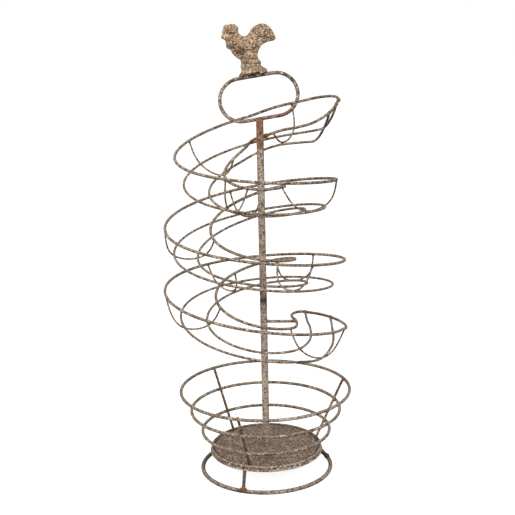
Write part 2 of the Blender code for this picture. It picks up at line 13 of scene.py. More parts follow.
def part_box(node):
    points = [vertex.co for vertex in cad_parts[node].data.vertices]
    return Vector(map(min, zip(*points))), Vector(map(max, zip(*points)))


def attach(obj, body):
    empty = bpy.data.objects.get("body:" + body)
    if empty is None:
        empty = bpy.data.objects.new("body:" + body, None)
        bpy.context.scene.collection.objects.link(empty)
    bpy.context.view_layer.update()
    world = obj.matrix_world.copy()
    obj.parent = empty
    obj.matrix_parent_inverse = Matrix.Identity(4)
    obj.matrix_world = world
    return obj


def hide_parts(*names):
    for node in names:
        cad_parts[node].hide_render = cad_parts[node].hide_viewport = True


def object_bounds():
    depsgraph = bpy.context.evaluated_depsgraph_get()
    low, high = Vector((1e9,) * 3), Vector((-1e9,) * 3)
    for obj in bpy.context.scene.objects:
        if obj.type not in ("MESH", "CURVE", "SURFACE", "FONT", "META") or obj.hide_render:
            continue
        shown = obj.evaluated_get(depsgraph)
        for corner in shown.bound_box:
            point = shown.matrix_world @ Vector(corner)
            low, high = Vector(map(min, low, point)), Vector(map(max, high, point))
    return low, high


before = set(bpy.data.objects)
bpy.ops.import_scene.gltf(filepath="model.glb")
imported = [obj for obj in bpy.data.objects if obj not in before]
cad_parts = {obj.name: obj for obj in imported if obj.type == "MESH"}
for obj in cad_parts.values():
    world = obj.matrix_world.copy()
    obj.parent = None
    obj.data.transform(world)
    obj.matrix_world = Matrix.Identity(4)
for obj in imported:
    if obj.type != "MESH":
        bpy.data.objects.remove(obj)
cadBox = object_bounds()
mm = 0.001
postLow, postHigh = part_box("centre_post")
postAxis = Vector(((postLow.x + postHigh.x) / 2, (postLow.y + postHigh.y) / 2, 0))


def linear(hexColour):   # sRGB hex to the linear colour that the shader takes
    parts = [int(hexColour[k:k + 2], 16) / 255 for k in (1, 3, 5)]
    return (*[p / 12.92 if p <= 0.04045 else ((p + 0.055) / 1.055) ** 2.4 for p in parts], 1)


def addNode(tree, kind, values=None, links=None, **settings):
    node = tree.nodes.new(kind)
    for name, value in settings.items():
        setattr(node, name, value)
    for socket, value in (values or {}).items():
        node.inputs[socket].default_value = value
    for socket, source in (links or {}).items():
        tree.links.new(source, node.inputs[socket])
    return node


# ---------- worn paint

# Clouds of colour lie over the ground, then pale specks, stains and dark specks. Each has its colour,
# the size of its patches in mm, where its noise starts and is full, and how much of it shows. Real
# specks are under 1 mm, and are drawn at 2 to 3 mm so that they show at this size.
wirePaint = {
    "name": "distressedBrownPaintOnDrawnWire",   # matt, gritty, paler on top with dust and painted highlight, darker below with painted shade
    "ground": "#8c7767",
    "clouds": (("#a8937f", 22.0, 0.42, 0.58, 0.85),
               ("#80593f", 12.0, 0.52, 0.61, 0.75)),
    "specks": (("#e6d8c6", 3.3, 0.53, 0.58, 0.90),
               ("#47352a", 3.6, 0.52, 0.58, 0.90),
               ("#1d140e", 2.8, 0.56, 0.61, 0.95)),
    "dustAndHighlight": 0.28, "underside": 0.75, "grain": 2.4, "bump": 0.8}
shadedPaint = {
    "name": "shadedSootyBrownPaintOnDrawnWire",   # the same paint darker, as painted shade and dark dried wash, on legs and uprights
    "ground": "#66533f",
    "clouds": (("#7e6b59", 22.0, 0.44, 0.60, 0.8),
               ("#6b472c", 12.0, 0.52, 0.64, 0.7)),
    "specks": (("#b9a48c", 3.1, 0.55, 0.61, 0.8),
               ("#3c2d20", 3.2, 0.50, 0.58, 0.85),
               ("#1a120c", 2.8, 0.56, 0.62, 0.90)),
    "dustAndHighlight": 0.18, "underside": 0.5, "grain": 2.4, "bump": 0.8}
postPaint = {
    "name": "distressedBrownPaintOnSteelTube",   # as the wire, with broader clouds of colour
    "ground": "#a08c7b",
    "clouds": (("#baa593", 34.0, 0.42, 0.58, 0.85),
               ("#8a6c57", 12.0, 0.52, 0.62, 0.60)),
    "specks": (("#ddcdbb", 2.9, 0.51, 0.58, 0.85),
               ("#5c4637", 2.9, 0.53, 0.59, 0.85),
               ("#2c2018", 2.4, 0.58, 0.63, 0.90)),
    "dustAndHighlight": 0.1, "underside": 0.3, "grain": 2.2, "bump": 0.8}
castPaint = {
    "name": "distressedBrownPaintOnCastIron",   # coarse casting grain, rust tan showing in the hollows
    "ground": "#b8936f",
    "clouds": (("#ceb08c", 13.0, 0.44, 0.56, 0.85),
               ("#8f5b36", 8.0, 0.53, 0.61, 0.75)),
    "specks": (("#efe2d0", 3.2, 0.54, 0.59, 0.80),
               ("#4a3323", 3.4, 0.54, 0.59, 0.80),
               ("#1c130d", 2.6, 0.57, 0.61, 0.95)),
    "dustAndHighlight": 0.25, "underside": 0.75, "grain": 2.4, "bump": 1.0}
trayPaint = {
    "name": "speckledBrownPaintOnPressedSteel",   # fine dark and pale speckle all over the dish
    "ground": "#896f5e",
    "clouds": (("#a1877a", 30.0, 0.42, 0.58, 0.8),
               ("#7e583c", 12.0, 0.52, 0.61, 0.7)),
    "specks": (("#d6c3ad", 3.0, 0.53, 0.58, 0.90),
               ("#3f2d20", 3.1, 0.51, 0.57, 0.90),
               ("#140d08", 3.2, 0.58, 0.62, 0.95)),
    "dustAndHighlight": 0.1, "underside": 0.35, "grain": 2.2, "bump": 0.8}
weldPaint = {
    "name": "rustBrownPaintOnWeldBead",   # darker and browner, as the wash gathers in the joint
    "ground": "#6b543f",
    "clouds": (("#8a7259", 8.0, 0.45, 0.60, 0.7),
               ("#7d5232", 6.0, 0.52, 0.62, 0.6)),
    "specks": (("#b5a389", 3.8, 0.56, 0.64, 0.6),
               ("#35281d", 3.6, 0.54, 0.62, 0.85)),
    "dustAndHighlight": 0.2, "underside": 0.5, "grain": 2.2, "bump": 0.6}
paintFacts = {
    "roughness": (0.72, 0.92), "ior": 1.5, "specular": 0.3, "bumpDepth": 0.4 * mm, "ragged": 7.0 * mm,
    "dustAndHighlightColour": "#cdbfab", "shadeColour": "#3c2e23", "grimeAndShadeColour": "#2b2017",
    "stainMask": (0.70, 1.15, 0.92),   # where a stain starts, where it is full, how much of it shows
    "grimeAndShadeShare": 0.85}
stainColours = {"chalkAndHighlight": "#d3c5b3", "rust": "#8f5833", "sootAndShade": "#2d211a"}


def agedPaint(look):
    material = bpy.data.materials.new(look["name"])
    material.use_nodes = True
    tree = material.node_tree
    tree.nodes.clear()
    place = addNode(tree, "ShaderNodeTexCoord").outputs["Object"]
    coats = []
    for number, (tint, size, start, full, share) in enumerate(look["clouds"] + look["specks"]):
        cloud = addNode(tree, "ShaderNodeTexNoise",
                        {"W": 3.7 * number, "Scale": 1 / (size * mm), "Detail": 3.0, "Roughness": 0.6,
                         "Distortion": 0.4}, {"Vector": place}, noise_dimensions="4D")
        coats.append((tint, cloud.outputs[0], start, full, share))
    edge = addNode(tree, "ShaderNodeTexNoise", {"Scale": 1 / paintFacts["ragged"], "Detail": 3.0},
                   {"Vector": place})
    stains = []
    for stain, tint in stainColours.items():
        amount = addNode(tree, "ShaderNodeAttribute", attribute_name=stain).outputs["Fac"]
        torn = addNode(tree, "ShaderNodeMath", {}, {0: amount, 1: edge.outputs[0]}, operation="ADD")
        stains.append((tint, torn.outputs[0], *paintFacts["stainMask"]))
    under = len(look["clouds"]) + 1   # stains lie over the clouds and the pale specks, under the dark ones
    coats[under:under] = stains
    normal = addNode(tree, "ShaderNodeNewGeometry").outputs["Normal"]
    height = addNode(tree, "ShaderNodeSeparateXYZ", links={0: normal}).outputs["Z"]
    grimeAndShade = addNode(tree, "ShaderNodeAttribute", attribute_name="grimeAndShade").outputs["Fac"]
    # Paler where the surface faces up: dust, and painted highlight. Darker where it faces down: painted
    # shade.
    coats.append((paintFacts["dustAndHighlightColour"], height, 0.1, 1.0, look["dustAndHighlight"]))
    coats.append((paintFacts["shadeColour"], height, 0.2, -0.9, look["underside"]))
    # Darker by the grime-and-shade attribute: wash at joints, and painted shade in joints, grooves and
    # creases
    coats.append((paintFacts["grimeAndShadeColour"], grimeAndShade, 0.0, 1.0, paintFacts["grimeAndShadeShare"]))
    colour = None
    masks = []
    for tint, source, start, full, share in coats:
        mask = addNode(tree, "ShaderNodeMapRange", {"From Min": start, "From Max": full, "To Max": share},
                       {"Value": source}, interpolation_type="SMOOTHSTEP")
        mix = addNode(tree, "ShaderNodeMix", {6: linear(look["ground"]), 7: linear(tint)},
                      {0: mask.outputs[0]}, data_type="RGBA")
        if colour:
            tree.links.new(colour, mix.inputs[6])
        colour = mix.outputs[2]
        masks.append(mask.outputs[0])
    grain = addNode(tree, "ShaderNodeTexNoise",
                    {"Scale": 1 / (look["grain"] * mm), "Detail": 2.0, "Roughness": 0.6}, {"Vector": place})
    darkest = masks[len(look["clouds"]) + len(stains) + len(look["specks"]) - 1]
    pitted = addNode(tree, "ShaderNodeMath", {}, {0: grain.outputs[0], 1: darkest}, operation="SUBTRACT")
    bump = addNode(tree, "ShaderNodeBump", {"Strength": look["bump"], "Distance": paintFacts["bumpDepth"]},
                   {"Height": pitted.outputs[0]})
    low, high = paintFacts["roughness"]
    gloss = addNode(tree, "ShaderNodeMapRange",
                    {"From Min": 0.3, "From Max": 0.7, "To Min": low, "To Max": high},
                    {"Value": grain.outputs[0]})
    shader = addNode(tree, "ShaderNodeBsdfPrincipled",
                     {"IOR": paintFacts["ior"], "Specular IOR Level": paintFacts["specular"]},
                     {"Base Color": colour, "Roughness": gloss.outputs[0], "Normal": bump.outputs[0]})
    addNode(tree, "ShaderNodeOutputMaterial", links={"Surface": shader.outputs[0]})
    return material


paints = {look["name"]: agedPaint(look) for look in
          (wirePaint, shadedPaint, postPaint, castPaint, trayPaint, weldPaint)}
print("paints:", len(paints))


# ---------- meshes

# Stains by place: how far right of the post, behind it and over the floor, how far they reach, and
# how strong they are
stains = {
    "rust": (
        (82, 42, 240, 62, 0.65), (124, 20, 134, 46, 0.6), (3, 0, 540, 40, 0.55), (30, 0, 562, 46, 0.5),
        (104, 40, 585, 44, 0.35), (100, 0, 6, 36, 0.6), (-60, 66, 60, 30, 0.4), (-52, 0, 675, 11, 0.6),
        (-34, 0, 646, 12, 0.45), (0, 0, 646, 12, 0.4), (-40, -95, 470, 34, 0.35), (20, -120, 330, 34, 0.35),
        (-38, -94, 4, 13, 0.7), (-70, -105, 133, 34, 0.4), (-44, 0, 592, 22, 0.35), (10, -150, 405, 34, 0.35),
        (112, -20, 225, 40, 0.6), (-75, -50, 40, 26, 0.4)),
    # Dark marks; those in the tray's middle, the stand's slot and the crease under the bird are painted shade
    "sootAndShade": (
        (62, -108, 232, 50, 0.55), (112, 40, 552, 30, 0.6), (-98, 22, 4, 50, 0.85), (0, 0, 283, 28, 0.55),
        (90, 50, 4, 44, 0.85), (107, 5, 218, 22, 0.6), (-30, -128, 370, 36, 0.3), (-118, -20, 335, 44, 0.4),
        (-122, 30, 250, 44, 0.35), (18, 0, 684, 8, 0.45), (-33, 0, 656, 6, 0.6), (-20, 0, 631, 8, 0.7),
        (0, -9, 631, 8, 0.7), (103, 24, 6, 14, 0.9), (-150, -10, 440, 36, 0.3), (-20, -10, 43, 30, 0.3),
        (116, 62, 560, 26, 0.4), (8, 8, 541, 9, 0.9)),
    # Pale marks; the band on the stand's collar is painted highlight
    "chalkAndHighlight": (
        (-30, 0, 668, 12, 0.55), (-22, -6, 640, 7, 0.8), (-60, -110, 130, 60, 0.3), (20, -100, 4, 60, 0.35),
        (0, 0, 150, 110, 0.45), (-56, 0, 600, 46, 0.5), (0, 0, 445, 80, 0.35), (90, -90, 420, 40, 0.3),
        (40, -128, 133, 46, 0.5), (0, 0, 235, 24, 0.6), (50, -60, 36, 60, 0.3), (120, 10, 90, 60, 0.4))}


def markStains(mesh, places):
    for stain, blots in stains.items():
        amount = np.zeros(len(places))
        for right, behind, over, reach, strength in blots:
            away = np.linalg.norm(places - np.array((right, behind, over)) * mm, axis=1) / (reach * mm)
            amount = np.maximum(amount, strength * np.clip(1.5 - 1.5 * away, 0, 1))
        mesh.attributes.new(stain, "FLOAT", "POINT").data.foreach_set("value", amount.astype(np.float32))


def settle(name, mesh, look, nodes=()):   # a finished piece: smooth, painted, riding the frame
    for face in mesh.polygons:
        face.use_smooth = True
    places = np.zeros(len(mesh.vertices) * 3)
    mesh.vertices.foreach_get("co", places)
    # No piece reaches past the part
    places = np.clip(places.reshape(-1, 3), np.array(cadBox[0]), np.array(cadBox[1]))
    mesh.vertices.foreach_set("co", places.ravel())
    markStains(mesh, places - np.array(postAxis))
    thing = bpy.data.objects.new(name, mesh)
    bpy.context.scene.collection.objects.link(thing)
    mesh.materials.clear()
    mesh.materials.append(paints[look["name"]])
    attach(thing, "root")
    if nodes:
        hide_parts(*nodes)
    return thing


def lump(spot, size, seed=0.0):   # smooth noise of about -1 to 1 with lumps of that size
    return noise.noise(Vector(spot) / size + Vector((seed, 2 * seed, 3 * seed)))


def sweep(points, diameter, sides, closed=False, rough=0.03, lumpSize=4 * mm):
    # A round wire along the points, its section carried without twist, its ends domed
    line = [Vector(p) for p in points]
    scale = [1.0] * len(line)
    if not closed:
        first = (line[0] - line[1]).normalized()
        last = (line[-1] - line[-2]).normalized()
        for angle in (30, 55, 75, 87):
            line.insert(0, Vector(points[0]) + first * diameter / 2 * sin(radians(angle)))
            line.append(Vector(points[-1]) + last * diameter / 2 * sin(radians(angle)))
            scale.insert(0, cos(radians(angle)))
            scale.append(cos(radians(angle)))
    centre = np.array([tuple(p) for p in line])
    ahead = np.roll(centre, -1, 0) - np.roll(centre, 1, 0)
    if not closed:
        ahead[0] = centre[1] - centre[0]
        ahead[-1] = centre[-1] - centre[-2]
    ahead /= np.linalg.norm(ahead, axis=1)[:, None]
    side = np.cross(ahead[0], (0.1, 0.2, 1.0))
    sideways = []
    for way in ahead:
        side = side - way * side.dot(way)
        side /= np.linalg.norm(side)
        sideways.append(side)
    sideways = np.array(sideways)
    other = np.cross(ahead, sideways)
    corners = []
    for k in range(len(line)):
        for j in range(sides):
            angle = 2 * pi * j / sides
            way = cos(angle) * sideways[k] + sin(angle) * other[k]
            spot = centre[k] + way * diameter / 2
            swell = 1 + rough * (lump(spot, lumpSize) + 0.6 * lump(spot, 4 * lumpSize, 5.0))
            corners.append(tuple(centre[k] + way * diameter / 2 * scale[k] * swell))
    rings = len(line)
    faces = []
    for k in range(rings if closed else rings - 1):
        low = k * sides
        high = (k + 1) % rings * sides
        for j in range(sides):
            after = (j + 1) % sides
            faces.append((low + j, low + after, high + after, high + j))
    if not closed:
        faces.append(tuple(reversed(range(sides))))
        faces.append(tuple(range((rings - 1) * sides, rings * sides)))
    mesh = bpy.data.meshes.new("wire")
    mesh.from_pydata(corners, [], faces)
    return mesh


def markGrimeAndShade(mesh, spots, reach):   # darker within that reach of each joint: brown wash, and painted shade between the parts
    layer = mesh.attributes.new("grimeAndShade", "FLOAT", "POINT")
    if not spots:
        return
    places = np.zeros(len(mesh.vertices) * 3)
    mesh.vertices.foreach_get("co", places)
    places = places.reshape(-1, 3)
    amount = np.zeros(len(places))
    for spot in spots:
        away = np.linalg.norm(places - np.array(spot), axis=1)
        amount = np.maximum(amount, np.clip(1 - away / reach, 0, 1))
    layer.data.foreach_set("value", amount.astype(np.float32))


def runDirections(points):
    inner = []
    for before, point, after in zip(points, points[1:], points[2:]):
        arrive = point - before
        leave = after - point
        inner.append((arrive.normalized() * leave.length + leave.normalized() * arrive.length).normalized())
    first = (points[0] - points[1]).normalized()
    last = (points[-1] - points[-2]).normalized()
    return [-inner[0].reflect(first)] + inner + [-inner[-1].reflect(last)]


def smoothRun(points, spacing=1.6 * mm):
    ways = runDirections(points)
    run = []
    for start, end, leave, arrive in zip(points, points[1:], ways, ways[1:]):
        chord = (end - start).length
        count = max(1, ceil(chord / spacing))
        for k in range(count):
            t = k / count
            run.append(start * (2 * t ** 3 - 3 * t ** 2 + 1) + end * (3 * t ** 2 - 2 * t ** 3)
                       + (leave * (t ** 3 - 2 * t ** 2 + t) + arrive * (t ** 3 - t ** 2)) * chord)
    return run + [points[-1]]


def straightRun(start, end, spacing=2 * mm):
    count = ceil((end - start).length / spacing)
    return [start.lerp(end, k / count) for k in range(count + 1)]


def closestOn(run, spot):
    best = None
    for start, end in zip(run, run[1:]):
        along = end - start
        share = min(1, max(0, (spot - start).dot(along) / along.length_squared))
        point = start + along * share
        if best is None or (spot - point).length < (spot - best[0]).length:
            best = (point, along.normalized())
    return best


def buttEnd(origin, spot, hostRadius):   # where a wire from that origin meets its round host
    return spot - (spot - origin).normalized() * hostRadius


# ---------- egg channel

channel = {
    "topWire": 4.7 * mm, "bottomWire": 4.0 * mm, "cradleWire": 2.8 * mm,
    "shift": Vector((-12.0 * mm, -12.0 * mm, 0)), "radius": 139.0 * mm, "width": 76.0 * mm,
    "depth": 40.0 * mm, "pitch": 115.0 * mm, "entryHeight": 593.0 * mm, "entryReach": 133.0 * mm,
    "tipHeight": 583.0 * mm, "endHeight": 239.0 * mm, "firstTurn": 90.0, "lastTurn": 1080.0,
    "postSide": 8.15 * mm, "sides": 12, "cradleSides": 10, "drawn": 0.96,
    "railBead": 0.72, "entryBead": 1.35, "seatBead": 0.38, "hookBead": 0.58,   # shares of the wire there
    "railGrimeAndShade": 4.5 * mm, "cradleGrime": 4 * mm,
    "drops": (0, 0.32, 0.70, 0.89, 1.07, 1.35, 1.65, 1.87, 2.15, 2.39, 2.51, 2.75, 3.10),
    "banks": (0.33, 0.37, 0.34, 0.32, 0.12, -0.01, 0.07, 0.16, -0.03, -0.08, 0.16, 0.21, -0.05),
    "halfTurns": (90.0, 180.0, 360.0, 540.0, 720.0, 900.0, 1080.0)}
rails = {
    "outerTopRail": {
        "node": "outer_top_rail", "release": 10.0,
        "radii": (0.72, 0.83, 0.905, 0.97, 0.99, 1.00, 0.97), "depths": None,
        "entry": ((1.005, 0.58, -0.04), (1.003, 0.645, 0.01), (0.985, 0.74, 0.045), (0.92, 0.92, 0.045),
                  (0.80, 1.04, -0.01), (0.57, 1.07, -0.165), (0.28, 1.07, -0.37)),
        "stop": ((1.003, -0.02, -0.05), (1.0, 0.08, -0.05), (0.975, 0.165, -0.05), (0.93, 0.265, -0.05),
                 (0.85, 0.36, -0.02), (0.735, 0.46, 0), (0.625, 0.53, 0), (0.51, 0.575, 0),
                 (0.445, 0.535, 0), (0.41, 0.45, 0), (0.415, 0.36, 0), (0.44, 0.26, 0.03))},
    "innerTopRail": {
        "node": "inner_top_rail", "release": 25.0,
        "radii": (0.137, 0.30, 0.345, 0.475, 0.445, 0.44, 0.445), "depths": None,
        "entry": ((0.977, 0.51, -0.18), (0.93, 0.43, -0.36), (0.865, 0.315, -0.515), (0.78, 0.195, -0.66),
                  (0.675, 0.09, -0.795), (0.54, 0.025, -0.895), (0.315, 0, -1.025), (0.15, 0, -1.205)),
        "stop": ((0.452, 0, 0.05), (0.458, 0.08, 0.05), (0.454, 0.16, 0.05))},
    "outerBottomRail": {
        "node": "outer_bottom_rail", "release": 60.0,
        "radii": (0.56, 0.74, 0.78, 0.88, 0.855, 0.835, 0.805),
        "depths": (1.4, 1.0, 1.0, 1.2, 1.03, 0.95, 0.98, 1.08, 0.95, 0.83, 1.05, 1.28, 0.94),
        "start": (0.977, 0.51, -0.175), "end": (0.85, 0.36, -0.02),
        "entry": ((0.932, 0.62, -0.66), (0.90, 0.645, -0.865), (0.865, 0.655, -1.025), (0.82, 0.67, -1.145),
                  (0.75, 0.70, -1.21), (0.615, 0.75, -1.295), (0.38, 0.775, -1.415)),
        "stop": ((0.805, -0.14, -0.83), (0.85, -0.04, -0.68), (0.865, 0.04, -0.48), (0.86, 0.13, -0.29))},
    "innerBottomRail": {
        "node": "inner_bottom_rail", "release": 80.0,
        "radii": (0.315, 0.47, 0.56, 0.625, 0.575, 0.545, 0.54),
        "depths": (0.58, 0.65, 0.68, 0.85, 0.90, 1.05, 1.08, 0.88, 0.95, 0.97, 0.93, 0.90, 0.72),
        "start": (0.887, 0.355, -0.44), "end": (0.57, 0.56, 0),
        "entry": ((0.866, 0.38, -0.76), (0.833, 0.415, -1.03), (0.797, 0.435, -1.27), (0.765, 0.435, -1.425),
                  (0.715, 0.42, -1.555), (0.61, 0.395, -1.585), (0.435, 0.34, -1.61), (0.32, 0.33, -1.65)),
        "stop": ((0.47, -0.42, -0.41), (0.555, -0.29, -0.36), (0.60, -0.15, -0.30),
                 (0.61, -0.03, -0.23), (0.605, 0.12, -0.15), (0.585, 0.30, -0.125))}}
quarterTurns = tuple(90.0 * k for k in range(len(channel["drops"])))


def naturalSpline(knots, values, spot):
    knots = np.array(knots, float)
    values = np.array(values, float)
    count = len(knots)
    gaps = np.diff(knots)
    slopes = np.diff(values) / gaps
    system = np.eye(count)
    right = np.zeros(count)
    for k in range(1, count - 1):
        system[k, k - 1:k + 2] = gaps[k - 1], 2 * (gaps[k - 1] + gaps[k]), gaps[k]
        right[k] = 6 * (slopes[k] - slopes[k - 1])
    bends = np.linalg.solve(system, right)
    k = int(min(max(np.searchsorted(knots, spot, side="right") - 1, 0), count - 2))
    ahead = knots[k + 1] - spot
    behind = spot - knots[k]
    return float((bends[k] * ahead ** 3 + bends[k + 1] * behind ** 3) / (6 * gaps[k])
                 + (values[k] / gaps[k] - bends[k] * gaps[k] / 6) * ahead
                 + (values[k + 1] / gaps[k] - bends[k + 1] * gaps[k] / 6) * behind)


def railHeight(name, turn):
    height = channel["entryHeight"] - channel["pitch"] * naturalSpline(quarterTurns, channel["drops"], turn)
    if name.startswith("inner"):
        height -= channel["width"] * naturalSpline(quarterTurns, channel["banks"], turn)
    if rails[name]["depths"]:
        height -= channel["depth"] * naturalSpline(quarterTurns, rails[name]["depths"], turn)
    return height


def railRadius(name, turn):
    postReach = channel["postSide"] - channel["shift"].y
    shares = list(rails[name]["radii"])
    if name == "innerTopRail":
        if turn <= channel["firstTurn"]:
            return postReach
        shares[0] = postReach / channel["radius"]
    return channel["radius"] * naturalSpline(channel["halfTurns"], shares, turn)


def railPoint(name, turn):
    round90 = max(turn, channel["firstTurn"])
    radius = railRadius(name, round90)
    lead = channel["entryReach"] * max(0, 1 - turn / channel["firstTurn"])
    return (postAxis + channel["shift"]
            + Vector((radius * cos(radians(round90)) + lead, radius * sin(radians(round90)),
                      railHeight(name, turn))))


def entryPoint(share):
    along, across, down = share
    return postAxis + Vector((channel["shift"].x + channel["entryReach"] * along,
                              channel["postSide"] + channel["width"] * across,
                              channel["tipHeight"] + channel["depth"] * down))


def stopPoint(share):
    along, across, down = share
    return (postAxis + channel["shift"]
            + Vector((channel["radius"] * along, channel["radius"] * across,
                      channel["endHeight"] + channel["depth"] * down)))


def helixPoints(name, start, end, step=22.5):
    count = ceil((end - start) / step)
    return [railPoint(name, start + (end - start) * k / count) for k in range(count + 1)]


welds = {"channelWelds": [], "basketWelds": [], "postWelds": []}


def weldAt(group, spot, line, size):   # bead centre, the line that it runs along, its radius
    welds[group].append((Vector(spot), Vector(line).normalized(), size))


def buildRuns():
    points = {}
    for name, rail in rails.items():
        points[name] = ([entryPoint(s) for s in rail["entry"]]
                        + helixPoints(name, channel["firstTurn"], channel["lastTurn"] - rail["release"])
                        + [stopPoint(s) for s in rail["stop"]])
    outer = points["outerTopRail"]
    inner = points["innerTopRail"]
    topRadius = channel["topWire"] / 2
    inner.insert(0, buttEnd(inner[0], outer[0].lerp(outer[1], 0.5), topRadius))
    inner.append(outer[-1])
    runs = {name: smoothRun(points[name]) for name in ("outerTopRail", "innerTopRail")}
    for name in ("outerBottomRail", "innerBottomRail"):
        rail = rails[name]
        own = points[name]
        first, firstLine = closestOn(runs["innerTopRail"], entryPoint(rail["start"]))
        last, lastLine = closestOn(runs["outerTopRail"], stopPoint(rail["end"]))
        weldAt("channelWelds", first, firstLine, channel["bottomWire"] * channel["railBead"])
        weldAt("channelWelds", last, lastLine, channel["bottomWire"] * channel["railBead"])
        own = [buttEnd(own[0], first, topRadius)] + own + [buttEnd(own[-1], last, topRadius)]
        runs[name] = smoothRun(own)
    weldAt("channelWelds", outer[0], outer[1] - outer[0], topRadius * channel["entryBead"])
    return runs


cradleTurns = (   # degrees of turn on the outer top, outer bottom, inner bottom and inner top rails
    (48, 47, 59, 68), (151, 146, 141, 145), (252, 250, 252, 261), (357, 375, 374, 391),
    (467, 462, 452, 438), (546, 544, 539, 567), (668, 662, 656, 662), (767, 764, 773, 777),
    (844, 841, 835, 842), (905, 917, 910, 929), (1074, 1065, 1041, 1048))
# 1 passes under the bottom rails, -1 over them, inside the channel
cradleSides = (-1, 1, -1, 1, -1, 1, -1, -1, -1, 1, 1)


def cradleRun(runs, turns, side):
    names = ("outerTopRail", "outerBottomRail", "innerBottomRail", "innerTopRail")
    spots = [closestOn(runs[name], railPoint(name, turn)) for name, turn in zip(names, turns)]
    (outerTop, outerLine), (outerLow, outerLowLine), (innerLow, innerLowLine), (innerTop, innerLine) = spots
    middle = (outerTop + innerTop) / 2
    reach = (channel["bottomWire"] + channel["cradleWire"]) / 2
    seats = [outerTop]
    for low, line, across in ((outerLow, outerLowLine, innerLow - outerTop),
                              (innerLow, innerLowLine, innerTop - outerLow)):
        normal = across.cross(line).normalized()
        if normal.dot(low - middle) < 0:
            normal = -normal
        seats.append(low + normal * reach * side)
        weldAt("channelWelds", low + normal * reach * 0.5 * side, line,
               channel["cradleWire"] * channel["seatBead"])
    seats.append(innerTop)
    knots = [0]
    for start, end in zip(seats, seats[1:]):
        knots.append(knots[-1] + (end - start).length)
    topRadius = channel["topWire"] / 2
    count = ceil(knots[-1] / (1.2 * mm))
    run = [Vector([naturalSpline(knots, [seat[axis] for seat in seats], knots[-1] * k / count)
                   for axis in range(3)]) for k in range(count + 1)]
    run = [spot for spot in run
           if (spot - outerTop).length > topRadius and (spot - innerTop).length > topRadius]
    weldAt("channelWelds", run[0], outerLine, channel["cradleWire"] * channel["hookBead"])
    weldAt("channelWelds", run[-1], innerLine, channel["cradleWire"] * channel["hookBead"])
    return run


runs = buildRuns()
cradleRuns = [cradleRun(runs, turns, side) for turns, side in zip(cradleTurns, cradleSides)]
cradleSpots = [spot for spot, line, size in welds["channelWelds"]]
for name, run in runs.items():
    size = channel["topWire"] if name.endswith("TopRail") else channel["bottomWire"]
    mesh = sweep(run, size * channel["drawn"], channel["sides"])
    markGrimeAndShade(mesh, cradleSpots, channel["railGrimeAndShade"])
    settle(name, mesh, wirePaint, [rails[name]["node"]])
for number, run in enumerate(cradleRuns, 1):
    mesh = sweep(run, channel["cradleWire"], channel["cradleSides"], lumpSize=3 * mm)
    markGrimeAndShade(mesh, cradleSpots, channel["cradleGrime"])
    settle("cradle%02d" % number, mesh, wirePaint, ["cradle_%02d" % number])
print("egg channel:", len(runs), "rails,", len(cradleRuns), "cradles")


# ---------- post, bracket and handle

post = {"diameter": 11.0 * mm, "top": 557.6 * mm, "base": 41.0 * mm, "sides": 28,
        "touch": (6 * mm, 8 * mm, -15 * mm),   # where the inner top rail is welded on, from the post's top
        "bracketWire": 4.8 * mm, "bracketRise": 4.0 * mm, "hook": (0.454, 0.16, 0.05),
        "topBead": 3.8 * mm, "touchBead": 3.6 * mm, "bracketBead": 2.4 * mm}
handle = {"wire": 5.8 * mm, "endRadius": 32.0 * mm, "straight": 53.0 * mm, "shift": 4.1 * mm, "tilt": 8.5,
          "gap": 0.3 * mm, "sides": 14}
handleTurn = Matrix.Rotation(radians(-handle["tilt"]), 4, "Y")
barHeight = (post["top"] + handle["wire"] / 2 + handle["gap"]
             + post["diameter"] / 2 * sin(radians(handle["tilt"])))


def handlePlace(along, height):
    return postAxis + Vector((0, 0, barHeight)) + handleTurn @ Vector((along, 0, height))


def addPost():
    run = straightRun(postAxis + Vector((0, 0, post["base"])), postAxis + Vector((0, 0, post["top"])))
    mesh = sweep(run, post["diameter"], post["sides"], rough=0.02, lumpSize=6 * mm)
    touch, line = closestOn(runs["innerTopRail"], run[-1] + Vector(post["touch"]))
    markGrimeAndShade(mesh, [touch], 9 * mm)
    settle("centrePost", mesh, postPaint, ["centre_post"])
    weldAt("postWelds", run[-1], handleTurn @ Vector((1, 0, 0)), post["topBead"])
    weldAt("postWelds", touch - Vector((0, 2 * mm, 0)), line, post["touchBead"])
    hookSpot, hookLine = closestOn(runs["innerTopRail"], stopPoint(post["hook"]))
    centre = postAxis + Vector((0, 0, hookSpot.z + post["bracketRise"]))
    near = buttEnd(hookSpot, centre, post["diameter"] / 2)
    far = buttEnd(centre, hookSpot, channel["topWire"] / 2)
    mesh = sweep(straightRun(near, far), post["bracketWire"], 12)
    markGrimeAndShade(mesh, [near, far], 5 * mm)
    settle("postBracket", mesh, wirePaint, ["post_bracket"])
    weldAt("postWelds", near, (0, 0, 1), post["bracketBead"])
    weldAt("postWelds", far, hookLine, post["bracketBead"])


def addHandle():
    points = []
    radius = handle["endRadius"]
    for side in (1, -1):
        for k in range(37):
            angle = radians(-90 * side + 5 * k)
            along = handle["shift"] + side * handle["straight"] / 2 + radius * cos(angle)
            points.append(handlePlace(along, radius * (1 + sin(angle))))
        across = handlePlace(handle["shift"] - side * handle["straight"] / 2, radius * (1 + side))
        points += straightRun(points[-1], across, 3 * mm)[1:-1]
    mesh = sweep(points, handle["wire"], handle["sides"], closed=True)
    markGrimeAndShade(mesh, [handlePlace(0, 0), handlePlace(0, 2 * radius)], 8 * mm)
    settle("handleLoop", mesh, wirePaint, ["handle_loop"])


addPost()
addHandle()
print("post, bracket and handle")


# ---------- foot, tray and basket

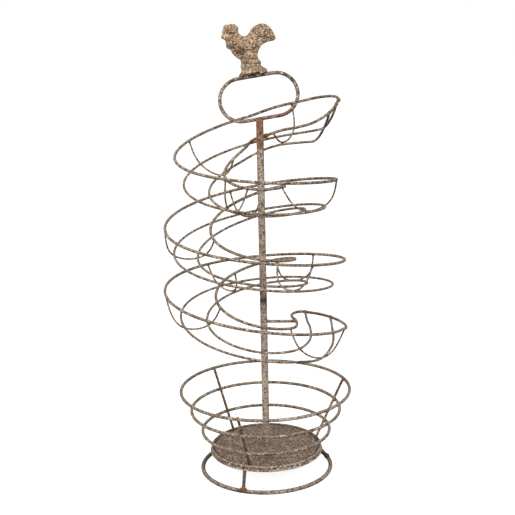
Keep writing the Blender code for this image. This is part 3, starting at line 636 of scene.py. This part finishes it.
foot = {"ringDiameter": 205.0 * mm, "ringWire": 6.6 * mm, "legWire": 5.4 * mm, "legInset": 10.5 * mm,
        "beads": {"back": 3.4 * mm, "front": 3.6 * mm, "right": 4.6 * mm},
        "legs": {"back": (131.0, 131.0), "front": (249.0, 244.5), "right": (13.0, 13.0)}}
tray = {"diameter": 177.0 * mm, "height": 38.0 * mm, "sheet": 1.2 * mm, "dome": 3.0 * mm, "sink": 0.9 * mm,
        "rim": 1.3 * mm, "hem": 3.0 * mm, "shoulder": 4.4 * mm, "skirt": 7.5 * mm, "steps": 180,
        "dents": 0.25 * mm, "grimeAndShade": 3.2 * mm, "chalkAndHighlight": 0.8}
basket = {"topDiameter": 265.5 * mm, "wire": 5.0 * mm, "uprightWire": 4.2 * mm, "inset": 6.0 * mm,
          "height": 133.3 * mm, "rings": {"top": 1.0, "middle": 0.656, "lower": 0.294},
          "uprights": {"back": 131.0, "front": 251.0, "right": 14.0},
          "ringBead": 2.1 * mm, "footBead": 2.4 * mm}


def around(radius, angle, height):
    return postAxis + Vector((radius * cos(radians(angle)), radius * sin(radians(angle)), height))


def ringRun(radius, height, step=0.8):
    count = round(360 / step)
    return [around(radius, 360 * k / count, height) for k in range(count)]


def addBasket():
    footRadius = tray["diameter"] / 2 - basket["inset"]
    half = (basket["wire"] + basket["uprightWire"]) / 2
    topRadius = basket["topDiameter"] / 2 - half
    rise = basket["height"] - tray["height"]
    lean = Vector((topRadius - footRadius, 0, rise)).normalized()
    for name, share in basket["rings"].items():
        height = tray["height"] + rise * share
        radius = footRadius + (topRadius - footRadius) * share + half / lean.z
        mesh = sweep(ringRun(radius, height), basket["wire"], 12, closed=True)
        spots = [around(radius - basket["wire"] / 2, angle, height)
                 for angle in basket["uprights"].values()]
        for spot in spots:
            across = Vector((0, 0, 1)).cross(spot - postAxis)
            weldAt("basketWelds", spot, across, basket["ringBead"])
        markGrimeAndShade(mesh, spots, 6 * mm)
        settle("basket%sRing" % name.capitalize(), mesh, wirePaint, ["basket_%s_ring" % name])
    for name, angle in basket["uprights"].items():
        low = around(footRadius, angle, tray["height"] + basket["uprightWire"] / 3)
        high = around(topRadius, angle, basket["height"])
        mesh = sweep(straightRun(low, high), basket["uprightWire"], 12)
        markGrimeAndShade(mesh, [low], 7 * mm)
        # The legs and the front and back uprights take the darker paint, with painted shade
        look = wirePaint if name == "right" else shadedPaint
        settle("basketUpright%s" % name.capitalize(), mesh, look, ["basket_upright_" + name])
        weldAt("basketWelds", low, around(1, angle + 90, 0) - postAxis, basket["footBead"])


def trayProfile():   # from the middle over the dish, its groove and the rolled rim to the skirt's edge
    edge = tray["diameter"] / 2
    high, rim, hem = tray["height"], tray["rim"], tray["hem"]
    groove = edge - tray["shoulder"]
    low = high - tray["sink"]
    skirtEnd = high - tray["skirt"]
    dish = [(groove * k / 24, high + tray["dome"] * (cos(pi * k / 24) + 1) / 2 - tray["sink"] * (k / 24) ** 6)
            for k in range(25)]
    rolled = [(groove + tray["shoulder"] * 0.9 * k / 12,
               low + (rim + tray["sink"]) * sin(pi / 2 * min(1, k / 9)) ** 2 - rim * max(0, (k - 9) / 3) ** 2)
              for k in range(1, 13)]
    corner = [(edge - tray["sheet"] * 0.2, high - rim * 0.4), (edge, high - rim * 1.2),
              (edge, skirtEnd + hem)]
    folded = [(edge + hem * 0.35 * sin(pi * k / 6), skirtEnd + hem * (1 - k / 6)) for k in range(1, 7)]
    return dish + rolled + corner + folded


def highlightAndChalkHem(mesh):   # the top of the rolled rim and the hem are made pale: rubbed paint, and painted highlight
    pale = mesh.attributes["chalkAndHighlight"].data
    hemTop = tray["height"] - tray["skirt"] + tray["hem"]
    for corner, amount in zip(mesh.vertices, pale):
        out = (corner.co - postAxis).xy.length - tray["diameter"] / 2
        if out > -2 * mm and (corner.co.z > tray["height"] or corner.co.z < hemTop):
            amount.value = tray["chalkAndHighlight"]


def addTray():
    profile = trayProfile()
    steps = tray["steps"]
    # The middle, then a ring of corners for each point of the outline, each face wound to look up. The
    # order is fixed, so that the sheet is thickened downwards on every run.
    corners = [Vector((0, 0, profile[0][1]))]
    corners += [Vector((x * cos(2 * pi * j / steps), x * sin(2 * pi * j / steps), z))
                for x, z in profile[1:] for j in range(steps)]
    for corner in corners:   # shallow dents of a pressed dish
        flat = min(1, max(0, (tray["diameter"] / 2 - corner.xy.length) / (12 * mm)))
        corner.z += tray["dents"] * flat * lump(corner, 35 * mm)
    faces = [(0, 1 + j, 1 + (j + 1) % steps) for j in range(steps)]
    for ring in range(len(profile) - 2):
        inner = 1 + ring * steps
        outer = inner + steps
        for j in range(steps):
            after = (j + 1) % steps
            faces.append((inner + j, outer + j, outer + after, inner + after))
    mesh = bpy.data.meshes.new("tray")
    mesh.from_pydata(corners, [], faces)
    mesh.transform(Matrix.Translation(postAxis))
    # Painted shade and wash in the groove inside the rolled rim
    groove = tray["diameter"] / 2 - tray["shoulder"] - 0.5 * mm
    low = tray["height"] - tray["sink"]
    markGrimeAndShade(mesh, [around(groove, angle, low) for angle in range(0, 360, 2)], tray["grimeAndShade"])
    thing = settle("tray", mesh, trayPaint, ["tray"])
    highlightAndChalkHem(mesh)
    sheet = thing.modifiers.new("sheet", "SOLIDIFY")
    sheet.thickness = tray["sheet"]
    sheet.offset = -1


def addFoot():
    half = foot["ringWire"] / 2
    radius = foot["ringDiameter"] / 2
    mesh = sweep(ringRun(radius, half), foot["ringWire"] * 0.985, 16, closed=True, rough=0.012)
    spots = []
    for name, (ringAngle, trayAngle) in foot["legs"].items():
        low = around(radius, ringAngle, half)
        high = around(tray["diameter"] / 2 - foot["legInset"], trayAngle, tray["height"] - tray["sheet"])
        seat = buttEnd(high, low, half * 0.7)
        head = high - (high - seat).normalized() * foot["legWire"] / 2
        leg = sweep(straightRun(seat, head), foot["legWire"], 12)
        markGrimeAndShade(leg, [seat, high], 8 * mm)
        settle("leg%s" % name.capitalize(), leg, shadedPaint, ["leg_" + name])
        weldAt("basketWelds", buttEnd(high, low, half), around(1, ringAngle + 90, 0) - postAxis,
               foot["beads"][name])
        spots.append(low)
    markGrimeAndShade(mesh, spots, 9 * mm)
    settle("baseRing", mesh, wirePaint, ["base_ring"])


addFoot()
addTray()
addBasket()
print("foot, tray and basket")


# ---------- weld beads

def weldMesh(beads):
    whole = bmesh.new()
    for spot, line, size in beads:
        turn = line.to_track_quat("Z", "Y").to_matrix().to_4x4()
        made = bmesh.ops.create_icosphere(whole, subdivisions=3, radius=1)
        for corner in made["verts"]:
            swell = 1 + 0.22 * lump(corner.co * size + spot, size * 0.8, 1.5)
            corner.co *= swell
        shape = Matrix.Translation(spot) @ turn @ Matrix.Diagonal((size, size, size * 1.35, 1))
        bmesh.ops.transform(whole, matrix=shape, verts=made["verts"])
    mesh = bpy.data.meshes.new("welds")
    whole.to_mesh(mesh)
    whole.free()
    return mesh


for name, beads in welds.items():
    settle(name, weldMesh(beads), weldPaint)
print("weld beads:", sum(len(beads) for beads in welds.values()))


# ---------- rooster casting

rooster = {
    "length": 80.5 * mm, "height": 51.5 * mm, "bottom": 650.6 * mm, "front": -54.5 * mm,
    "voxel": 0.6 * mm, "smoothing": 4, "grain": 0.2 * mm,
    # Painted shade in rings round the stand's creases: height share, width, darkness
    "creaseShade": ((0.03, 0.035, 0.55), (-0.11, 0.03, 0.6), (-0.29, 0.025, 0.4))}


def smoothstep(low, high, value):
    t = np.clip((value - low) / (high - low), 0, 1)
    return t * t * (3 - 2 * t)


def oval(u, v, centre, half, turn):   # 0 at its middle, 1 at its edge
    x = (u - centre[0]) * rooster["length"]
    z = (v - centre[1]) * rooster["height"]
    c, s = cos(radians(turn)), sin(radians(turn))
    return np.hypot((x * c + z * s) / half[0], (z * c - x * s) / half[1])


def scallops(u, v, turn, wide, tall):   # overlapping feather tips that point down the flow
    x = u * rooster["length"]
    z = v * rooster["height"]
    c, s = cos(radians(turn)), sin(radians(turn))
    along = (x * c + z * s) / tall
    across = (z * c - x * s) / wide
    row = np.floor(along)
    a = along - row
    b = (across + 0.5 * (row % 2)) % 1 - 0.5
    return np.clip(1 - np.hypot(b * 1.7, a - 0.15), 0, 1) * (1 - smoothstep(0.8, 1.0, a))


def addRooster():
    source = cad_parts["rooster_finial"].data.copy()
    shape = bmesh.new()
    shape.from_mesh(source)
    bmesh.ops.remove_doubles(shape, verts=shape.verts, dist=0.01 * mm)
    mesh = bpy.data.meshes.new("rooster")
    shape.to_mesh(mesh)
    shape.free()
    thing = bpy.data.objects.new("shape", mesh)
    bpy.context.scene.collection.objects.link(thing)
    fine = thing.modifiers.new("fine", "REMESH")
    fine.mode = "VOXEL"
    fine.voxel_size = rooster["voxel"]
    soft = thing.modifiers.new("soft", "SMOOTH")
    soft.factor = 0.5
    soft.iterations = rooster["smoothing"]
    bpy.context.view_layer.update()
    made = bpy.data.meshes.new_from_object(thing.evaluated_get(bpy.context.evaluated_depsgraph_get()))
    bpy.data.objects.remove(thing, do_unlink=True)
    count = len(made.vertices)
    places = np.zeros(count * 3)
    normals = np.zeros(count * 3)
    made.vertices.foreach_get("co", places)
    made.vertex_normals.foreach_get("vector", normals)
    places = places.reshape(-1, 3)
    normals = normals.reshape(-1, 3)
    u = (places[:, 0] - postAxis.x - rooster["front"]) / rooster["length"]
    v = (places[:, 2] - rooster["bottom"]) / rooster["height"]
    sideways = smoothstep(0.25, 0.7, np.abs(normals[:, 1]))
    bird = smoothstep(-0.02, 0.10, v)
    tail = smoothstep(0.53, 0.60, u) * smoothstep(0.40, 0.50, v)
    neck = (1 - smoothstep(0.24, 0.34, u)) * smoothstep(0.30, 0.42, v) * (1 - smoothstep(0.66, 0.76, v))
    wing = 1 - smoothstep(0.80, 1.02, oval(u, v, (0.47, 0.44), (16 * mm, 8.5 * mm), -22))
    breast = bird * (1 - tail) * (1 - wing) * (1 - smoothstep(0.60, 0.68, v))
    fan = np.hypot((u - 0.80) * rooster["length"], (v - 0.36) * rooster["height"])
    ridges = np.abs(np.sin(pi * fan / (3.4 * mm)))
    comb = smoothstep(0.84, 0.90, v) * (1 - smoothstep(0.33, 0.36, u))
    lift = 0.9 * mm * wing
    lift += 0.9 * mm * wing * scallops(u, v, -22, 4.2 * mm, 6.0 * mm)
    lift += 0.7 * mm * breast * scallops(u, v, -55, 4.4 * mm, 4.4 * mm)
    lift += 0.5 * mm * neck * np.abs(np.sin(pi * (u + 0.25 * v) * rooster["length"] / (2.6 * mm)))
    lift += 1.1 * mm * tail * (ridges - 0.5)
    lift -= 0.9 * mm * comb * np.abs(np.cos(pi * u * rooster["length"] / (5.2 * mm))) ** 6
    eye = oval(u, v, (0.155, 0.775), (1.9 * mm, 1.9 * mm), 0)
    lift += 0.8 * mm * (1 - smoothstep(0.5, 0.9, eye)) - 0.7 * mm * np.exp(-((eye - 1.25) / 0.3) ** 2)
    lift *= sideways * bird
    grain = np.array([lump(p, 2.4 * mm) + 0.5 * lump(p, 1.1 * mm, 4.0) for p in places])
    lift += rooster["grain"] * grain
    inner = smoothstep(0.0, 1.2 * mm, cadBox[1].z - places[:, 2])   # stays under the casting's own top
    places += normals * (np.minimum(lift, 0) + np.maximum(lift, 0) * inner)[:, None]
    made.vertices.foreach_set("co", places.ravel())
    hollow = made.attributes.new("grimeAndShade", "FLOAT", "POINT")
    # Painted shade in the hollows of the relief
    shade = np.clip(0.15 - lift / (0.9 * mm), 0, 1) * 0.6
    outlineShade = 1 - smoothstep(0.1, 0.55, np.abs(normals[:, 1]))   # painted shade along the bird's outline, where its sides turn edge-on
    shade = np.maximum(shade, 0.45 * outlineShade)
    for middle, wide, strong in rooster["creaseShade"]:
        shade = np.maximum(shade, strong * np.exp(-((v - middle) / wide) ** 2))
    hollow.data.foreach_set("value", shade.astype(np.float32))
    made.update()
    settle("roosterFinial", made, castPaint, ["rooster_finial"])
    return count


print("rooster casting:", addRooster(), "points")


# ---------- floor, light and camera

studio = {"floor": "#c9c8c6", "lift": 0.88, "world": 0.55, "worldColour": "#f4f5f7",
          "lamps": (("key", (-0.7, -2.0, 1.7), 1.2, 30.0, "#fffaf2"),
                    ("fill", (1.6, -1.2, 1.0), 1.5, 7.0, "#f5f8ff"))}
view = {"place": (0, -1.7178, 0.7813), "yaw": -0.0045, "pitch": 0.2471, "roll": -0.0218, "lens": 80.39,
        "sensor": 36.0}


def addFloor():
    shape = bmesh.new()
    bmesh.ops.create_grid(shape, x_segments=8, y_segments=8, size=8)
    mesh = bpy.data.meshes.new("floor")
    shape.to_mesh(mesh)
    shape.free()
    floor = bpy.data.objects.new("floor", mesh)
    bpy.context.scene.collection.objects.link(floor)
    material = bpy.data.materials.new("paleStudioFloor")
    material.use_nodes = True
    tree = material.node_tree
    tree.nodes.clear()
    rays = addNode(tree, "ShaderNodeLightPath").outputs
    seen = addNode(tree, "ShaderNodeMath", {}, {0: rays["Is Camera Ray"], 1: rays["Is Glossy Ray"]},
                   operation="MAXIMUM")
    through = addNode(tree, "ShaderNodeMath", {}, {0: seen.outputs[0], 1: rays["Is Transmission Ray"]},
                      operation="MAXIMUM")
    strength = addNode(tree, "ShaderNodeMath", {1: studio["lift"]}, {0: through.outputs[0]},
                       operation="MULTIPLY")
    matt = addNode(tree, "ShaderNodeBsdfDiffuse", {"Color": linear(studio["floor"])})
    glow = addNode(tree, "ShaderNodeEmission", {}, {"Strength": strength.outputs[0]})
    both = addNode(tree, "ShaderNodeAddShader", {}, {0: matt.outputs[0], 1: glow.outputs[0]})
    addNode(tree, "ShaderNodeOutputMaterial", links={"Surface": both.outputs[0]})
    mesh.materials.append(material)


def addLight():
    world = bpy.data.worlds.new("studio")
    bpy.context.scene.world = world
    world.use_nodes = True
    tree = world.node_tree
    tree.nodes.clear()
    rays = addNode(tree, "ShaderNodeLightPath").outputs
    seen = addNode(tree, "ShaderNodeMath", {}, {0: rays["Is Camera Ray"], 1: rays["Is Glossy Ray"]},
                   operation="MAXIMUM")
    through = addNode(tree, "ShaderNodeMath", {}, {0: seen.outputs[0], 1: rays["Is Transmission Ray"]},
                      operation="MAXIMUM")
    soft = addNode(tree, "ShaderNodeBackground", {"Color": linear(studio["worldColour"]),
                                                  "Strength": studio["world"]})
    white = addNode(tree, "ShaderNodeBackground", {"Color": (1, 1, 1, 1), "Strength": 1.0})
    either = addNode(tree, "ShaderNodeMixShader", {}, {0: through.outputs[0], 1: soft.outputs[0],
                                                       2: white.outputs[0]})
    addNode(tree, "ShaderNodeOutputWorld", links={"Surface": either.outputs[0]})
    middle = (cadBox[0] + cadBox[1]) / 2
    for name, place, size, power, tint in studio["lamps"]:
        lamp = bpy.data.lights.new(name, "AREA")
        lamp.size = size
        lamp.energy = power
        lamp.color = linear(tint)[:3]
        holder = bpy.data.objects.new(name, lamp)
        holder.location = place
        holder.rotation_euler = (middle - Vector(place)).to_track_quat("-Z", "Y").to_euler()
        bpy.context.scene.collection.objects.link(holder)


def addCamera():
    yaw, pitch, roll = view["yaw"], view["pitch"], view["roll"]
    ahead = Vector((sin(yaw) * cos(pitch), cos(yaw) * cos(pitch), -sin(pitch)))
    level = ahead.cross(Vector((0, 0, 1))).normalized()
    up = level.cross(ahead)
    right = cos(roll) * level + sin(roll) * up
    above = -sin(roll) * level + cos(roll) * up
    data = bpy.data.cameras.new("camera")
    data.lens = view["lens"]
    data.sensor_width = view["sensor"]
    camera = bpy.data.objects.new("camera", data)
    turn = Matrix((right, above, -ahead)).transposed().to_4x4()
    camera.matrix_world = Matrix.Translation(postAxis + Vector(view["place"])) @ turn
    bpy.context.scene.collection.objects.link(camera)
    bpy.context.scene.camera = camera


addFloor()
addLight()
addCamera()
bpy.context.scene.view_settings.view_transform = "Standard"
print("floor, light and camera")
